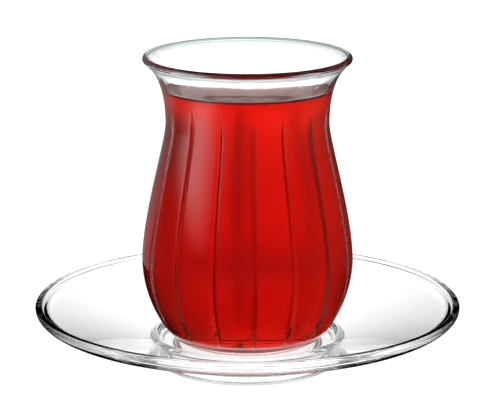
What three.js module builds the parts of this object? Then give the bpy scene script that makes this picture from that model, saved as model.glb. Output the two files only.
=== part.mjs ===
import * as THREE from 'three';

// A tulip-shaped tea glass filled with red tea, standing on its round glass saucer.
// Millimetres, +Z up. The origin is on the table, under the centre of the saucer.
// A profile is a list of points (radius, height) that is turned about the Z axis.

// Saucer: a shallow cone on a foot ring, with a rounded rim and a raised ring round the glass
const SAUCER_RADIUS = 63.5;
const SAUCER_HEIGHT = 18.6;
const SAUCER_SEGMENTS = 60;
const RIM_HALF_THICKNESS = 1.1;
const RIM_SWEEP = 5;             // width of the curve that lifts the underside into the rim
const DISH_SLOPE = 0.285;        // rise of the dish per millimetre of radius
const DISH_WALL = 3.2;           // upright thickness of the dish
const FOOT_RADIUS = 26.6;
const FOOT_WIDTH = 4.4;
const FOOT_HEIGHT = 4.2;
const FOOT_ROUNDING = 0.8;
const RECESS_HEIGHT = 2.4;       // hollow inside the foot ring
const WELL_HEIGHT = 7;           // the floor that the glass stands on
const RING_RADIUS = 27.6;
const RING_HEIGHT = 9;
const RING_WIDTH = 2.6;

// Glass: foot, belly, waist and flared lip
const BASE_RADIUS = 19.6;
const BASE_RING_WIDTH = 3.2;     // what touches the saucer, round the hollow of the base
const BASE_HOLLOW = 1;
const BELLY_RADIUS = 31.44;
const BELLY_HEIGHT = 31.5;
const WAIST_RADIUS = 24.2;
const WAIST_HEIGHT = 72.9;
const LIP_RADIUS = 29.9;         // centre of the rounded lip
const LIP_HEIGHT = 92.15;
const LIP_HALF_THICKNESS = 1;
const LIP_LEAN = 0.9;            // radians that the lip leans out from upright
const LIP_INSIDE_LEAN = 0.6;     // the same for the inside, where the wall thins towards the lip
const WALL = 2;
const FLOOR_RADIUS = 18.5;
const FLOOR_HEIGHT = 10.6;

// How far each curve of the side runs straight on from its ends
const FOOT_SPREAD = 3.6;
const BELLY_BELOW = 12.9;
const BELLY_ABOVE = 12.6;
const WAIST_BELOW = 5.2;
const WAIST_ABOVE = 11.15;
const LIP_BELOW = 4.2;

// Upright grooves pressed into the outside of the glass
const GROOVES = 16;
const GROOVE_DEPTH = 0.75;
const GROOVE_TURN = THREE.MathUtils.degToRad(3.5);
const GROOVE_BOTTOM = 9;
const GROOVE_TOP = 80.5;
const GROOVE_FADE = 7;           // height over which a groove runs out at each end
const SEGMENTS_PER_GROOVE = 5;
const GATHER = 0.65;             // how strongly the facets are gathered at the grooves

// Tea
const TEA_LEVEL = 82.75;
const TEA_SEGMENTS = 48;
const TEA_GAP = 0.3;             // play between the tea and the inside of the glass

const CURVE_STEPS = 6;           // also used for rounded edges, so that one point is at the top

function at(radius, height) {
  return new THREE.Vector2(radius, height);
}

// The points of a curve after its first one, given the handles it leaves and arrives by
function curve(from, leave, arrive, to) {
  return new THREE.CubicBezierCurve(from, leave, arrive, to).getPoints(CURVE_STEPS).slice(1);
}

// The points over a rounded edge, from its outer side to its inner side.
// lean is the angle from upright at which the edge points outwards.
function roundedEdge(centre, radius, lean) {
  const points = [];
  for (let step = 0; step <= CURVE_STEPS; step += 1) {
    const angle = Math.PI * step / CURVE_STEPS - lean;
    points.push(at(centre.x + radius * Math.cos(angle), centre.y + radius * Math.sin(angle)));
  }
  return points;
}

function turned(profile, segments) {
  return new THREE.LatheGeometry(profile, segments);
}

function subpart(name, geometry, look) {
  geometry.rotateX(Math.PI / 2);
  geometry.computeVertexNormals();
  const mesh = new THREE.Mesh(geometry, new THREE.MeshStandardMaterial(look));
  mesh.name = name;
  return mesh;
}

function undersideHeight(radius) {
  return FOOT_HEIGHT + DISH_SLOPE * (radius - FOOT_RADIUS);
}

// The point on the upper side of the dish at a radius
function onDish(radius) {
  return at(radius, undersideHeight(radius) + DISH_WALL);
}

function saucerProfile() {
  const footInside = FOOT_RADIUS - FOOT_WIDTH;
  const sweepStart = SAUCER_RADIUS - RIM_SWEEP;
  const rimHeight = SAUCER_HEIGHT - RIM_HALF_THICKNESS;
  const rim = roundedEdge(at(SAUCER_RADIUS - RIM_HALF_THICKNESS, rimHeight), RIM_HALF_THICKNESS, 0);
  const sweepFrom = at(sweepStart, undersideHeight(sweepStart));
  const sweepMiddle = (SAUCER_RADIUS + sweepStart) / 2;
  const sweepLeave = at(sweepMiddle, undersideHeight(sweepMiddle));
  const sweepArrive = at(SAUCER_RADIUS, (rimHeight + sweepFrom.y) / 2);
  const ringOutside = onDish(RING_RADIUS + RING_WIDTH / 2);
  const ringInside = onDish(RING_RADIUS - RING_WIDTH / 2);
  const ringCrest = at(RING_RADIUS, RING_HEIGHT);
  const ringShoulder = RING_WIDTH / 4;
  const wellRadius = FOOT_RADIUS + (WELL_HEIGHT - DISH_WALL - FOOT_HEIGHT) / DISH_SLOPE;
  return [
    at(0, RECESS_HEIGHT),
    at(footInside - RECESS_HEIGHT / 2, RECESS_HEIGHT),
    at(footInside, FOOT_ROUNDING),
    at(footInside + FOOT_ROUNDING, 0),
    at(FOOT_RADIUS - FOOT_ROUNDING, 0),
    at(FOOT_RADIUS, FOOT_ROUNDING),
    at(FOOT_RADIUS, FOOT_HEIGHT - FOOT_ROUNDING),
    at(FOOT_RADIUS + FOOT_ROUNDING, undersideHeight(FOOT_RADIUS + FOOT_ROUNDING)),
    sweepFrom,
    ...curve(sweepFrom, sweepLeave, sweepArrive, rim[0]),
    ...rim.slice(1),
    onDish(SAUCER_RADIUS - 3 * RIM_HALF_THICKNESS),
    ringOutside,
    ...curve(ringOutside, ringOutside, at(RING_RADIUS + ringShoulder, RING_HEIGHT), ringCrest),
    ...curve(ringCrest, at(RING_RADIUS - ringShoulder, RING_HEIGHT), ringInside, ringInside),
    at(wellRadius, WELL_HEIGHT),
    at(0, WELL_HEIGHT),
  ];
}

// One side of the glass wall, from the foot over belly and waist to the lip
function side(foot, belly, waist, lip, lean) {
  const footLeave = at(foot.x + FOOT_SPREAD, foot.y);
  const lipArrive = at(lip.x - LIP_BELOW * Math.sin(lean), lip.y - LIP_BELOW * Math.cos(lean));
  return [
    foot,
    ...curve(foot, footLeave, at(belly.x, belly.y - BELLY_BELOW), belly),
    ...curve(belly, at(belly.x, belly.y + BELLY_ABOVE), at(waist.x, waist.y - WAIST_BELOW), waist),
    ...curve(waist, at(waist.x, waist.y + WAIST_ABOVE), lipArrive, lip),
  ];
}

const lipEdge = roundedEdge(at(LIP_RADIUS, LIP_HEIGHT), LIP_HALF_THICKNESS, LIP_LEAN);

function outside() {
  const belly = at(BELLY_RADIUS, BELLY_HEIGHT);
  return side(at(BASE_RADIUS, WELL_HEIGHT), belly, at(WAIST_RADIUS, WAIST_HEIGHT), lipEdge[0], LIP_LEAN);
}

// The inside of the glass, or a surface that keeps a gap to it
function inside(gap) {
  const inset = WALL + gap;
  const lip = lipEdge[lipEdge.length - 1];
  return side(
    at(FLOOR_RADIUS - gap, FLOOR_HEIGHT + gap),
    at(BELLY_RADIUS - inset, BELLY_HEIGHT),
    at(WAIST_RADIUS - inset, WAIST_HEIGHT),
    at(lip.x - gap, lip.y),
    LIP_INSIDE_LEAN,
  );
}

// The share of the full groove depth at a height
function grooveShare(height) {
  const fromBottom = (height - GROOVE_BOTTOM) / GROOVE_FADE;
  const fromTop = (GROOVE_TOP - height) / GROOVE_FADE;
  return THREE.MathUtils.clamp(Math.min(fromBottom, fromTop), 0, 1);
}

function glassGeometry() {
  const base = [
    at(0, WELL_HEIGHT + BASE_HOLLOW),
    at((BASE_RADIUS - BASE_RING_WIDTH) / 2, WELL_HEIGHT + BASE_HOLLOW * 3 / 4),
    at(BASE_RADIUS - BASE_RING_WIDTH, WELL_HEIGHT),
  ];
  const wall = outside();
  const profile = [
    ...base,
    ...wall,
    ...lipEdge.slice(1, -1),
    ...inside(0).reverse(),
    at(0, FLOOR_HEIGHT),
  ];
  const segments = GROOVES * SEGMENTS_PER_GROOVE;
  const geometry = turned(profile, segments);
  const position = geometry.getAttribute('position');
  for (let vertex = 0; vertex < position.count; vertex += 1) {
    const row = vertex % profile.length;
    const segment = Math.floor(vertex / profile.length) % segments;
    const phase = 2 * Math.PI * segment / SEGMENTS_PER_GROOVE;
    const angle = GROOVE_TURN + (phase - GATHER * Math.sin(phase)) / GROOVES;
    const point = profile[row];
    const onWall = row >= base.length && row < base.length + wall.length;
    const inGroove = onWall && segment % SEGMENTS_PER_GROOVE === 0;
    const depth = inGroove ? GROOVE_DEPTH * grooveShare(point.y) : 0;
    const radius = point.x > 0 ? point.x - depth : 0;
    position.setXYZ(vertex, radius * Math.sin(angle), point.y, radius * Math.cos(angle));
  }
  return geometry;
}

function teaProfile() {
  const sidePoints = inside(TEA_GAP);
  const above = sidePoints.findIndex((point) => point.y > TEA_LEVEL);
  const low = sidePoints[above - 1];
  const high = sidePoints[above];
  const surfaceEdge = low.clone().lerp(high, (TEA_LEVEL - low.y) / (high.y - low.y));
  return [
    at(0, FLOOR_HEIGHT + TEA_GAP),
    ...sidePoints.slice(0, above),
    surfaceEdge,
    at(0, TEA_LEVEL),
  ];
}

const clearGlass = { color: 0xe6ebea, roughness: 0.05, metalness: 0, transparent: true, opacity: 0.35 };
const redTea = { color: 0xb81408, roughness: 0.05, metalness: 0, transparent: true, opacity: 0.9 };

const group = new THREE.Group();
group.add(subpart('saucer', turned(saucerProfile(), SAUCER_SEGMENTS), clearGlass));
group.add(subpart('glass', glassGeometry(), clearGlass));
group.add(subpart('tea', turned(teaProfile(), TEA_SEGMENTS), redTea));

export default group;
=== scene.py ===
import math

import bpy
import numpy as np
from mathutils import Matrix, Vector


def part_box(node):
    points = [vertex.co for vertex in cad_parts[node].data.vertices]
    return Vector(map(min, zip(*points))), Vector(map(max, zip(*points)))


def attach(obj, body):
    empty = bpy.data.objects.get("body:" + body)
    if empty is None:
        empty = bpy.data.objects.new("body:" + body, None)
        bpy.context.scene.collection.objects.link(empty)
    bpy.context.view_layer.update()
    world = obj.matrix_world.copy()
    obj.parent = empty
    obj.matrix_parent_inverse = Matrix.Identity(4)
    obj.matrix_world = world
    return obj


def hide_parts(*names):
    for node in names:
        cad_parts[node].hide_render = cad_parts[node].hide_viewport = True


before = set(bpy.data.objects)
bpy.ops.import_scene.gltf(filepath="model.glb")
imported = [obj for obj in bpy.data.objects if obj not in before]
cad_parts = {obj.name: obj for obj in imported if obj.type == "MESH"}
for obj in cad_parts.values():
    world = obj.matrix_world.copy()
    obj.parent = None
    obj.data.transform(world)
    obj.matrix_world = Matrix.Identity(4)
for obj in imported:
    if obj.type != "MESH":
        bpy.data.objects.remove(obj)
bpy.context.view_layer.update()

# A tulip-shaped tea glass filled with red tea, on its glass saucer.
# Metres, in the frame of the CAD model. A profile is a list of (radius, height) points.

MM = 0.001

# Sizes read from the frame
SAUCER_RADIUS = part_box("saucer")[1][0]
SAUCER_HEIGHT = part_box("saucer")[1][2]
WELL_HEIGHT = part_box("glass")[0][2]
TEA_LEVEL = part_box("tea")[1][2]
TEA_GAP = 0.3 * MM
FLOOR_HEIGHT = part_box("tea")[0][2] - TEA_GAP

# Saucer
RIM_HALF_THICKNESS = 1.1 * MM
RIM_SWEEP = 5 * MM
DISH_SLOPE = 0.285
DISH_WALL = 3.2 * MM
FOOT_RADIUS = 26.6 * MM
FOOT_WIDTH = 4.4 * MM
FOOT_HEIGHT = 4.2 * MM
FOOT_ROUNDING = 0.8 * MM
RECESS_HEIGHT = 2.4 * MM
RING_RADIUS = 27.6 * MM
RING_HEIGHT = 9 * MM
RING_WIDTH = 2.6 * MM

# Glass
BASE_RADIUS = 19.6 * MM
BASE_RING_WIDTH = 3.2 * MM
BASE_HOLLOW = 1 * MM
STANDING_GAP = 0.03 * MM       # keeps the glass just clear of the saucer
BELLY_RADIUS = 31.44 * MM
BELLY_HEIGHT = 31.5 * MM
WAIST_RADIUS = 24.2 * MM
WAIST_HEIGHT = 72.9 * MM
LIP_RADIUS = 29.9 * MM
LIP_HEIGHT = 92.15 * MM
LIP_HALF_THICKNESS = 1 * MM
LIP_LEAN = 0.9
LIP_INSIDE_LEAN = 0.6
LIP_PAINTED_SHADE = (0.24, 0.3, 0.3, 1)      # painted shade: the share of each colour that passes a surface of the lip
WALL = 2 * MM
FLOOR_RADIUS = 18.5 * MM
FOOT_SPREAD = 3.6 * MM
BELLY_BELOW = 12.9 * MM
BELLY_ABOVE = 12.6 * MM
WAIST_BELOW = 5.2 * MM
WAIST_ABOVE = 11.15 * MM
LIP_BELOW = 4.2 * MM

# Grooves in the outside of the glass
GROOVES = 16
GROOVE_DEPTH = 0.85 * MM
GROOVE_HALF_WIDTH = 0.85 * MM
GROOVE_ROUNDING = 0.08         # share of the half width
GROOVE_PAINTED_SHADE = 0.15            # painted shade: the reflections in the grooves are darkened to this share
GROOVE_EDGE = 1 / 3            # share of the depth from which the painted shade covers the groove all over
GROOVE_TURN = math.radians(3.5)
GROOVE_BOTTOM = 9 * MM
GROOVE_TOP = 80.5 * MM
GROOVE_FADE = 7 * MM
GATHER = 0.6                   # how strongly the mesh is gathered at the grooves

# Tea
TEA_REACH = 0.15 * MM          # how far the tea reaches into the wall, so that no air shows
MENISCUS_RISE = 1.2 * MM
MENISCUS_LENGTH = 1.5 * MM
CONTACT_HEIGHT = TEA_LEVEL + MENISCUS_RISE     # where the surface meets the wall
TEA_COLOUR = (0.877, 0.2, 0.07, 1)
TEA_DENSITY = 150

# Waves that the mould leaves in the glass: how long and how high they are
SAUCER_WAVES = (20 * MM, 0.02 * MM)
CUP_WAVES = (14 * MM, 0.02 * MM)
WAVES_ABOVE_TEA = (6 * MM, 0.12 * MM)
WAVES_START = 2 * MM           # the waves above the tea come in this far below and above its level

# Haze on the inside of the wall where the tea wets it
CLEAR_BAND = 1.5 * MM          # height above the floor of the glass up to which it is clear
HAZE_RAMP = 8 * MM             # height over which the haze comes in
HAZE = (0.02, 0.4)

# How strongly light bends
GLASS_INDEX = 1.5
TEA_INDEX = 1.33

# Fineness of the meshes
TINY = 1e-9                    # keeps a width above nothing where a groove has run out
CURVE_STEPS = 28
EDGE_STEPS = 14
CORNER_STEPS = 6
FLAT_STEPS = 8
WELL_STEPS = 10
DISH_STEPS = (12, 14)          # on its underside and on its upper side
SEGMENTS_PER_GROOVE = 24
TEA_SEGMENTS = 160
SAUCER_SEGMENTS = 240

# Camera, as in the photo
IMAGE_WIDTH = 500
FOCAL_PIXELS = 2494
SENSOR_WIDTH = 36
CAMERA_PLACE = (0.75 * MM, -720 * MM, 225.8 * MM)
CAMERA_PITCH = math.radians(13.89)


def bezier(start, leave, arrive, end, steps=CURVE_STEPS):
    """The points of a cubic curve after its first one."""
    points = []
    for step in range(1, steps + 1):
        t = step / steps
        weights = ((1 - t) ** 3, 3 * (1 - t) ** 2 * t, 3 * (1 - t) * t ** 2, t ** 3)
        corners = (start, leave, arrive, end)
        radius = sum(w * c[0] for w, c in zip(weights, corners))
        height = sum(w * c[1] for w, c in zip(weights, corners))
        points.append((radius, height))
    return points


def straight(start, end, steps):
    """Points on a line after its first one, closer together towards both ends."""
    return bezier(start, start, end, end, steps)


def rounded_edge(centre, radius, lean):
    """The points over a rounded edge, from its outer side to its inner side."""
    angles = np.linspace(0, math.pi, EDGE_STEPS + 1) - lean
    return [(centre[0] + radius * math.cos(a), centre[1] + radius * math.sin(a)) for a in angles]


def corner(before, at, after):
    """The points of a rounded corner, which starts at before and ends at after."""
    return [before, *bezier(before, at, at, after, CORNER_STEPS)]


def turned(name, profile, angles, radii=None):
    """A closed mesh made by turning a profile that starts and ends on the axis.

    radii, if given, has the radius of each profile point (row) at each angle (column).
    """
    profile = np.array(profile)
    count = len(angles)
    if radii is None:
        radii = np.repeat(profile[:, :1], count, axis=1)
    rings = np.stack([
        radii[1:-1] * np.sin(angles),
        -radii[1:-1] * np.cos(angles),
        np.repeat(profile[1:-1, 1:], count, axis=1),
    ], axis=-1).reshape(-1, 3)
    bottom = len(rings)
    top = bottom + 1
    vertices = np.vstack([rings, (0, 0, profile[0, 1]), (0, 0, profile[-1, 1])])
    faces = []
    last = (len(profile) - 3) * count
    for i in range(count):
        j = (i + 1) % count
        faces.append((bottom, j, i))
        faces.append((top, last + i, last + j))
        faces.extend((row + i, row + j, row + count + j, row + count + i) for row in range(0, last, count))
    mesh = bpy.data.meshes.new(name)
    mesh.from_pydata(vertices.tolist(), [], faces)
    mesh.shade_smooth()
    piece = bpy.data.objects.new(name, mesh)
    bpy.context.scene.collection.objects.link(piece)
    return piece


def even_angles(count):
    return np.arange(count) * 2 * math.pi / count


def underside_height(radius):
    return FOOT_HEIGHT + DISH_SLOPE * (radius - FOOT_RADIUS)


def on_dish(radius):
    """The point on the upper side of the dish at a radius."""
    return (radius, underside_height(radius) + DISH_WALL)


def saucer_profile():
    foot_inside = FOOT_RADIUS - FOOT_WIDTH
    recess_edge = (foot_inside - RECESS_HEIGHT / 2, RECESS_HEIGHT)
    rim_height = SAUCER_HEIGHT - RIM_HALF_THICKNESS
    rim = rounded_edge((SAUCER_RADIUS - RIM_HALF_THICKNESS, rim_height), RIM_HALF_THICKNESS, 0)
    sweep_start = SAUCER_RADIUS - RIM_SWEEP
    sweep_middle = (SAUCER_RADIUS + sweep_start) / 2
    sweep_from = (sweep_start, underside_height(sweep_start))
    sweep_leave = (sweep_middle, underside_height(sweep_middle))
    sweep_arrive = (SAUCER_RADIUS, (rim_height + sweep_from[1]) / 2)
    neck = (FOOT_RADIUS + FOOT_ROUNDING, underside_height(FOOT_RADIUS + FOOT_ROUNDING))
    dish_edge = on_dish(SAUCER_RADIUS - 3 * RIM_HALF_THICKNESS)
    ring_outside = on_dish(RING_RADIUS + RING_WIDTH / 2)
    ring_inside = on_dish(RING_RADIUS - RING_WIDTH / 2)
    ring_crest = (RING_RADIUS, RING_HEIGHT)
    shoulder = RING_WIDTH / 4
    well_edge = (FOOT_RADIUS + (WELL_HEIGHT - DISH_WALL - FOOT_HEIGHT) / DISH_SLOPE, WELL_HEIGHT)
    return [
        (0, RECESS_HEIGHT),
        *straight((0, RECESS_HEIGHT), recess_edge, FLAT_STEPS),
        *corner((foot_inside, FOOT_ROUNDING), (foot_inside, 0), (foot_inside + FOOT_ROUNDING, 0)),
        *corner((FOOT_RADIUS - FOOT_ROUNDING, 0), (FOOT_RADIUS, 0), (FOOT_RADIUS, FOOT_ROUNDING)),
        *corner((FOOT_RADIUS, FOOT_HEIGHT - FOOT_ROUNDING), (FOOT_RADIUS, FOOT_HEIGHT), neck),
        *straight(neck, sweep_from, DISH_STEPS[0]),
        *bezier(sweep_from, sweep_leave, sweep_arrive, rim[0], EDGE_STEPS),
        *rim[1:],
        *bezier(rim[-1], (rim[-1][0], dish_edge[1]), dish_edge, dish_edge, CORNER_STEPS),
        *straight(dish_edge, ring_outside, DISH_STEPS[1]),
        *bezier(ring_outside, ring_outside, (RING_RADIUS + shoulder, RING_HEIGHT), ring_crest, EDGE_STEPS),
        *bezier(ring_crest, (RING_RADIUS - shoulder, RING_HEIGHT), ring_inside, ring_inside, EDGE_STEPS),
        well_edge,
        *straight(well_edge, (0, WELL_HEIGHT), WELL_STEPS),
    ]


def side(foot, belly, waist, lip, lean):
    """One side of the glass wall, from the foot over belly and waist to the lip."""
    foot_leave = (foot[0] + FOOT_SPREAD, foot[1])
    lip_arrive = (lip[0] - LIP_BELOW * math.sin(lean), lip[1] - LIP_BELOW * math.cos(lean))
    return [
        foot,
        *bezier(foot, foot_leave, (belly[0], belly[1] - BELLY_BELOW), belly),
        *bezier(belly, (belly[0], belly[1] + BELLY_ABOVE), (waist[0], waist[1] - WAIST_BELOW), waist),
        *bezier(waist, (waist[0], waist[1] + WAIST_ABOVE), lip_arrive, lip),
    ]


lip_edge = rounded_edge((LIP_RADIUS, LIP_HEIGHT), LIP_HALF_THICKNESS, LIP_LEAN)


def outside():
    foot = (BASE_RADIUS, WELL_HEIGHT + STANDING_GAP)
    return side(foot, (BELLY_RADIUS, BELLY_HEIGHT), (WAIST_RADIUS, WAIST_HEIGHT), lip_edge[0], LIP_LEAN)


def with_height(points, height):
    """A rising row of points with one more of them, at a height."""
    above = next(i for i, point in enumerate(points) if point[1] > height)
    low, high = points[above - 1], points[above]
    share = (height - low[1]) / (high[1] - low[1])
    return [*points[:above], (low[0] + share * (high[0] - low[0]), height), *points[above:]]


def inside(gap):
    """The inside of the glass, or a surface that keeps a gap to it."""
    inset = WALL + gap
    points = side(
        (FLOOR_RADIUS - gap, FLOOR_HEIGHT + gap),
        (BELLY_RADIUS - inset, BELLY_HEIGHT),
        (WAIST_RADIUS - inset, WAIST_HEIGHT),
        (lip_edge[-1][0] - gap, lip_edge[-1][1]),
        LIP_INSIDE_LEAN,
    )
    return with_height(points, CONTACT_HEIGHT)


def groove_share(height):
    """The share of the full groove depth at a height: 0 past the ends, 1 along the middle."""
    ends = np.minimum(height - GROOVE_BOTTOM, GROOVE_TOP - height) / GROOVE_FADE
    share = np.clip(ends, 0, 1)
    return share * share * (3 - 2 * share)


def notch(place):
    """A notch with straight flanks and soft corners: deepest at 0, and nothing past its edges at 1."""
    inwards = 1 - np.hypot(place, GROOVE_ROUNDING)
    return (inwards + np.hypot(inwards, GROOVE_ROUNDING)) / 2


def make_glass():
    base_height = WELL_HEIGHT + STANDING_GAP
    hollow_edge = (BASE_RADIUS - BASE_RING_WIDTH, base_height)
    hollow_top = (0, base_height + BASE_HOLLOW)
    base = [
        hollow_top,
        *bezier(hollow_top, (hollow_edge[0] / 2, hollow_top[1]), hollow_edge, hollow_edge, EDGE_STEPS),
    ]
    wall = outside()
    inner = inside(0)[::-1]
    profile = [*base, *wall, *lip_edge[1:-1], *inner, *straight(inner[-1], (0, FLOOR_HEIGHT), FLAT_STEPS)]

    phase = even_angles(GROOVES * SEGMENTS_PER_GROOVE) * GROOVES
    angles = GROOVE_TURN + (phase - GATHER * np.sin(phase)) / GROOVES
    half_pitch = math.pi / GROOVES
    from_groove = np.abs((angles - GROOVE_TURN + half_pitch) % (2 * half_pitch) - half_pitch)

    radii = np.repeat(np.array(profile)[:, :1], len(angles), axis=1)
    rows = slice(len(base), len(base) + len(wall))
    share = groove_share(np.array(wall)[:, 1:])
    width = GROOVE_HALF_WIDTH * np.sqrt(share) + TINY
    cut = share * notch(radii[rows] * from_groove / width)
    radii[rows] -= GROOVE_DEPTH * cut
    piece = turned("tea_glass", profile, angles, radii)

    # Mask of the painted shade that darkens the reflections in the grooves
    groove_shade_mask = np.zeros_like(radii)
    groove_shade_mask[rows] = np.clip(cut / GROOVE_EDGE, 0, 1)
    mark_points(piece, "groove_shade_mask", groove_shade_mask)
    share_out_glass(piece)
    return piece


def mark_points(piece, name, values):
    """Give the points of a turned piece a value each. values has a row for each profile point."""
    ends = (values[0, 0], values[-1, 0])
    mark = piece.data.attributes.new(name, "FLOAT", "POINT")
    mark.data.foreach_set("value", np.append(values[1:-1].ravel(), ends).astype(np.float32))


def share_out_glass(piece):
    """Choose the material of each face.

    The second is for the inside of the wall up to the tea's edge, and the third for the lip.
    """
    for face in piece.data.polygons:
        radius = math.hypot(face.center.x, face.center.y)
        height = face.center.z
        inwards = face.center.x * face.normal.x + face.center.y * face.normal.y < 0
        above_base = height > WELL_HEIGHT + 2 * BASE_HOLLOW
        on_floor = face.normal.z > 0.5 and above_base
        if (inwards or on_floor) and above_base and height < CONTACT_HEIGHT:
            face.material_index = 1
        elif math.hypot(radius - LIP_RADIUS, height - LIP_HEIGHT) < LIP_HALF_THICKNESS:
            face.material_index = 2


def make_tea():
    """The tea, with its surface drawn up a little where it meets the wall."""
    wall = [point for point in inside(-TEA_REACH) if point[1] <= CONTACT_HEIGHT]
    edge_radius, edge_height = wall[-1]
    surface = [
        (radius, edge_height - MENISCUS_RISE * (1 - math.exp((radius - edge_radius) / MENISCUS_LENGTH)))
        for radius in edge_radius * np.sin(np.linspace(math.pi / 2, 0, CURVE_STEPS))[1:]
    ]
    floor = (0, FLOOR_HEIGHT - TEA_REACH)
    profile = [floor, *straight(floor, wall[0], FLAT_STEPS)[:-1], *wall, *surface]
    piece = turned("red_tea", profile, even_angles(TEA_SEGMENTS))
    mark = piece.data.attributes.new("free_surface", "FLOAT", "FACE")
    heights = np.array([face.center.z for face in piece.data.polygons])
    ups = np.array([face.normal.z for face in piece.data.polygons])
    free = (heights > edge_height - 2 * MENISCUS_RISE) & (ups > 0.5)
    mark.data.foreach_set("value", free.astype(np.float32))
    return piece


def make_saucer():
    return turned("glass_saucer", saucer_profile(), even_angles(SAUCER_SEGMENTS))


def new_material(name):
    material = bpy.data.materials.new(name)
    material.use_nodes = True
    return material


def shader_of(material):
    return material.node_tree.nodes["Principled BSDF"]


def add_node(material, kind, **inputs):
    """A new node, with the value of each named input. An underscore stands for a space."""
    node = material.node_tree.nodes.new("ShaderNode" + kind)
    for name, value in inputs.items():
        node.inputs[name.replace("_", " ")].default_value = value
    return node


def object_place(material):
    return add_node(material, "TexCoord").outputs["Object"]


def object_height(material):
    parts = add_node(material, "SeparateXYZ")
    material.node_tree.links.new(object_place(material), parts.inputs["Vector"])
    return parts.outputs["Z"]


def mark_value(material, name):
    """The value that the mesh itself gives to each of its points or faces."""
    node = add_node(material, "Attribute")
    node.attribute_name = name
    return node.outputs["Fac"]


def mapped(material, value, reach, levels):
    """A level that goes from levels[0], where the value is reach[0], to levels[1], where it is reach[1]."""
    node = add_node(
        material, "MapRange", From_Min=reach[0], From_Max=reach[1], To_Min=levels[0], To_Max=levels[1]
    )
    material.node_tree.links.new(value, node.inputs["Value"])
    return node.outputs["Result"]


def drive(material, socket, value):
    material.node_tree.links.new(value, shader_of(material).inputs[socket])


def clear_material(name, index):
    """What light passes through unchanged, apart from bending."""
    material = new_material(name)
    shader = shader_of(material)
    shader.inputs["Base Color"].default_value = (1, 1, 1, 1)
    shader.inputs["Transmission Weight"].default_value = 1
    shader.inputs["IOR"].default_value = index
    shader.inputs["Roughness"].default_value = 0
    return material


def add_waves(material, waves, normal=None, strength=None):
    """The faint waves that the mould leaves in glass, a (length, height). Returns the bent normal."""
    length, height = waves
    links = material.node_tree.links
    noise = add_node(material, "TexNoise", Scale=1 / length, Detail=1)
    links.new(object_place(material), noise.inputs["Vector"])
    bump = add_node(material, "Bump", Distance=height)
    links.new(noise.outputs["Fac"], bump.inputs["Height"])
    if normal:
        links.new(normal, bump.inputs["Normal"])
    if strength:
        links.new(strength, bump.inputs["Strength"])
    return bump.outputs["Normal"]


def saucer_glass():
    material = clear_material("saucer_glass", GLASS_INDEX)
    drive(material, "Normal", add_waves(material, SAUCER_WAVES))
    return material


def cup_glass():
    """Clear glass, wavy above the tea, with painted shade on the reflections in the grooves."""
    material = clear_material("cup_glass", GLASS_INDEX)
    height = object_height(material)
    all_over = add_waves(material, CUP_WAVES)
    share = mapped(material, height, (TEA_LEVEL - WAVES_START, TEA_LEVEL + WAVES_START), (0, 1))
    drive(material, "Normal", add_waves(material, WAVES_ABOVE_TEA, all_over, share))
    groove_shade_mask = mark_value(material, "groove_shade_mask")
    # Painted shade: the specular tint darkens the reflections in the grooves
    drive(material, "Specular Tint", mapped(material, groove_shade_mask, (0, 1), (1, GROOVE_PAINTED_SHADE)))
    return material


def painted_dark_lip_glass():
    """The rounded lip, with painted shade: its colour darkens the light that passes it."""
    material = clear_material("painted_dark_lip_glass", GLASS_INDEX)
    # Painted shade: the lip's colour darkens all light through it
    shader_of(material).inputs["Base Color"].default_value = LIP_PAINTED_SHADE
    drive(material, "Normal", add_waves(material, CUP_WAVES))
    return material


def wet_cup_glass():
    """The inside of the wall where the tea wets it, hazy except near the floor of the glass."""
    material = clear_material("wet_cup_glass", GLASS_INDEX / TEA_INDEX)
    clear_to = FLOOR_HEIGHT + CLEAR_BAND
    haze = mapped(material, object_height(material), (clear_to, clear_to + HAZE_RAMP), HAZE)
    drive(material, "Roughness", haze)
    drive(material, "Normal", add_waves(material, CUP_WAVES))
    return material


def tea_material():
    """Clear red tea, which takes up green and blue light within a few centimetres.

    Only its free surface bends light, because the wet glass already bends it at the wall.
    """
    material = clear_material("red_tea", TEA_INDEX)
    drive(material, "IOR", mapped(material, mark_value(material, "free_surface"), (0, 1), (1, TEA_INDEX)))
    absorb = add_node(material, "VolumeAbsorption", Color=TEA_COLOUR, Density=TEA_DENSITY)
    output = material.node_tree.nodes["Material Output"]
    material.node_tree.links.new(absorb.outputs["Volume"], output.inputs["Volume"])
    return material


def dress(piece, material, node):
    piece.data.materials.append(material)
    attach(piece, "root")
    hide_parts(node)


glass = make_glass()
tea = make_tea()
saucer = make_saucer()
dress(glass, cup_glass(), "glass")
glass.data.materials.append(wet_cup_glass())
glass.data.materials.append(painted_dark_lip_glass())
dress(tea, tea_material(), "tea")
dress(saucer, saucer_glass(), "saucer")

# Stage. The cards are seen only in or through the glass.
FLOOR_HALF_WIDTH = 4
FLOOR_LIGHT = 0.95
FLOOR_SHADE = 0.3              # small, so that the floor stays white under the saucer
CARD_STEPS = 60
BACKDROP_RADIUS = 110 * MM
BACKDROP_HEIGHT = 200 * MM
BACKDROP_CENTRE = 183          # azimuth in degrees
BACKDROP_HEIGHTS = np.array([0, 15, 40, 60, 85, 100]) * MM
BACKDROP_LEVELS = (2.3, 1.9, 2.05, 2.4, 1.3, 0.85)
BACKDROP_WIDENS = np.array([60, 80]) * MM
BACKDROP_WIDTHS = (19, 70)     # degrees, below and above the heights where it widens
FRONT_LEVEL = 1.2
FRONT_FROM = 85                # degrees from the centre of the backdrop to where the front starts
FRONT_RAMP = 35
CEILING_LEVEL = 0.4
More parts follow.
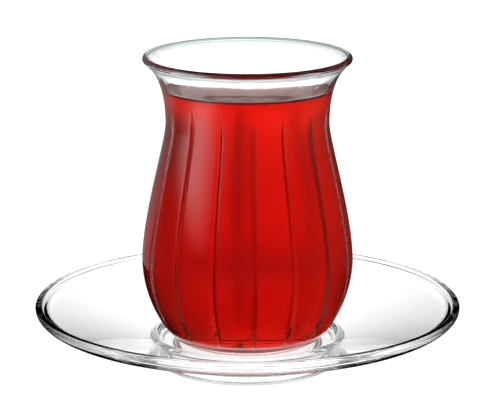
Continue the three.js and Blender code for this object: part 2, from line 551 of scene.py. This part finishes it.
# Painted shade under the glass: the glow of the card below it
UNDER_GLASS_SHADE_LEVEL = 0.8
MIRROR_RADIUS = 60 * MM
MIRROR_HEIGHTS = (19 * MM, 120 * MM)
MIRROR_LEVEL = 2.6
MIRROR_FAINT = 0.25            # at the back left
MIRROR_DARK = 0.02             # elsewhere
HIGHLIGHT_BOTTOM = 36 * MM
HIGHLIGHT_RISE = 30 * MM       # height over which the highlight reaches its full strength
HIGHLIGHT_GAIN = 1.6           # how slowly its strength starts to grow
HIGHLIGHT_CENTRES = (-37, -62) # azimuths in degrees, at its bottom and at the furthest
HIGHLIGHT_TURN = -22           # degrees that its centre moves over the rise
HIGHLIGHT_WIDTHS = (5, 24)     # degrees, at its bottom and at the widest
HIGHLIGHT_SPREAD = 14          # degrees that it widens over the rise
BACK_LEFT = (-105, -95)        # azimuths between which the faint light ends
# Painted shade in reflections: the ends of the black card over the saucer, each a (radius, height)
FLAG_INSIDE = (24.5 * MM, 10.1 * MM)
FLAG_OUTSIDE = (64 * MM, 19.3 * MM)
BOUNCES = 32
GLOSSY_BOUNCES = 12
scene = bpy.context.scene


def plain_mesh(name, vertices, faces):
    mesh = bpy.data.meshes.new(name)
    mesh.from_pydata(vertices, [], faces)
    thing = bpy.data.objects.new(name, mesh)
    scene.collection.objects.link(thing)
    return thing


def make_floor():
    half = FLOOR_HALF_WIDTH
    floor = plain_mesh(
        "floor",
        [(-half, -half, 0), (half, -half, 0), (half, half, 0), (-half, half, 0)],
        [(0, 1, 2, 3)],
    )
    material = new_material("white_floor")
    shader = shader_of(material)
    shader.inputs["Base Color"].default_value = (FLOOR_SHADE, FLOOR_SHADE, FLOOR_SHADE, 1)
    shader.inputs["Roughness"].default_value = 1
    shader.inputs["Specular IOR Level"].default_value = 0
    shader.inputs["Emission Color"].default_value = (1, 1, 1, 1)
    shader.inputs["Emission Strength"].default_value = FLOOR_LIGHT
    floor.data.materials.append(material)
    floor.visible_glossy = False


def make_card(name, points, glow, shows):
    """A card that is seen only in or through the glass.

    points is a grid of places, and glow has the strength of the card's light at each of them.
    """
    rows, columns = glow.shape
    index = np.arange(rows * columns).reshape(rows, columns)
    faces = np.stack([index[:-1, :-1], index[:-1, 1:], index[1:, 1:], index[1:, :-1]], axis=-1)
    card = plain_mesh(name, points.reshape(-1, 3).tolist(), faces.reshape(-1, 4).tolist())
    strength = card.data.attributes.new("glow", "FLOAT", "POINT")
    strength.data.foreach_set("value", glow.ravel().astype(np.float32))
    material = new_material(name)
    shader = shader_of(material)
    shader.inputs["Base Color"].default_value = (0, 0, 0, 1)
    shader.inputs["Specular IOR Level"].default_value = 0
    shader.inputs["Emission Color"].default_value = (1, 1, 1, 1)
    drive(material, "Emission Strength", mark_value(material, "glow"))
    card.data.materials.append(material)
    card.visible_camera = False
    card.visible_diffuse = False
    card.visible_shadow = False
    card.visible_glossy = shows == "glossy"
    card.visible_transmission = shows == "transmission"


def card_around(name, azimuths, ring_from, ring_to, glow, shows):
    """A card that bends round the object between two circles, each a (radius, height).

    Azimuths are in degrees and count from the camera's side towards +X.
    """
    share, azimuth = np.meshgrid(np.linspace(0, 1, CARD_STEPS), np.linspace(*azimuths, CARD_STEPS))
    radius = ring_from[0] + share * (ring_to[0] - ring_from[0])
    height = ring_from[1] + share * (ring_to[1] - ring_from[1])
    angle = np.radians(azimuth)
    points = np.stack([radius * np.sin(angle), -radius * np.cos(angle), height], axis=-1)
    make_card(name, points, glow(azimuth, height), shows)


def bell(value, centre, width):
    return np.exp(-((value - centre) / width) ** 2)


def backdrop_light(azimuth, height):
    """Bright behind the object, dark towards both sides, and bright again round the camera's side."""
    level = np.interp(height, BACKDROP_HEIGHTS, BACKDROP_LEVELS)
    width = np.interp(height, BACKDROP_WIDENS, BACKDROP_WIDTHS)
    turn = np.abs(azimuth - BACKDROP_CENTRE)
    round_the_front = FRONT_LEVEL * np.clip((turn - FRONT_FROM) / FRONT_RAMP, 0, 1)
    return level * bell(turn, 0, width) + round_the_front


def mirror_light(azimuth, height):
    """A soft light at the front left, faint light at the back left, and dark elsewhere.

    Upwards, the soft light turns further to the left and widens.
    """
    faint = np.interp(azimuth, BACK_LEFT, (MIRROR_FAINT, MIRROR_DARK))
    up = (height - HIGHLIGHT_BOTTOM) / HIGHLIGHT_RISE
    centre_below, centre_above = HIGHLIGHT_CENTRES
    centre = np.clip(centre_below + HIGHLIGHT_TURN * up, centre_above, centre_below)
    width = np.clip(HIGHLIGHT_WIDTHS[0] + HIGHLIGHT_SPREAD * up, *HIGHLIGHT_WIDTHS)
    strength = MIRROR_LEVEL * np.clip(up, 0, 1) ** HIGHLIGHT_GAIN
    return faint + strength * bell(azimuth, centre, width)


def even_light(level):
    """The light of a card that is equally bright all over."""
    return lambda azimuth, height: np.full_like(azimuth, level)


def make_world():
    world = bpy.data.worlds.new("studio")
    world.use_nodes = True
    world.node_tree.nodes["Background"].inputs["Color"].default_value = (1, 1, 1, 1)
    world.node_tree.nodes["Background"].inputs["Strength"].default_value = 1
    world.cycles_visibility.glossy = False
    scene.world = world


def make_camera():
    data = bpy.data.cameras.new("camera")
    data.sensor_width = SENSOR_WIDTH
    data.lens = FOCAL_PIXELS / IMAGE_WIDTH * SENSOR_WIDTH
    data.clip_start = 10 * MM
    camera = bpy.data.objects.new("camera", data)
    camera.location = CAMERA_PLACE
    camera.rotation_euler = (math.pi / 2 - CAMERA_PITCH, 0, 0)
    scene.collection.objects.link(camera)
    scene.camera = camera


make_floor()
all_round = (0, 360)
from_the_back = (-180, 180)
backdrop_foot = (BACKDROP_RADIUS, 0)
backdrop_top = (BACKDROP_RADIUS, BACKDROP_HEIGHT)
card_around("backdrop", all_round, backdrop_foot, backdrop_top, backdrop_light, "transmission")

ceiling_middle = (0, BACKDROP_HEIGHT)
card_around("ceiling", all_round, ceiling_middle, backdrop_top, even_light(CEILING_LEVEL), "transmission")

# Painted shade under the glass: a card in the gap below the glass, seen only through it, whose even glow
# stands in for the dim light there
base_gap = WELL_HEIGHT + STANDING_GAP / 2
base_middle = (0, base_gap)
base_edge = (BASE_RADIUS, base_gap)
card_around("under_glass_shade_card", all_round, base_middle, base_edge, even_light(UNDER_GLASS_SHADE_LEVEL), "transmission")

mirror_bottom = (MIRROR_RADIUS, MIRROR_HEIGHTS[0])
mirror_top = (MIRROR_RADIUS, MIRROR_HEIGHTS[1])
card_around("mirror_card", from_the_back, mirror_bottom, mirror_top, mirror_light, "glossy")
# Painted shade in reflections: a black card over the saucer, seen only in reflections, hides the saucer's
# reflection in the glass
card_around("saucer_reflection_shade_card", from_the_back, FLAG_INSIDE, FLAG_OUTSIDE, even_light(0), "glossy")
make_world()
make_camera()
scene.view_settings.view_transform = "Standard"
scene.cycles.max_bounces = BOUNCES
scene.cycles.transmission_bounces = BOUNCES
scene.cycles.glossy_bounces = GLOSSY_BOUNCES
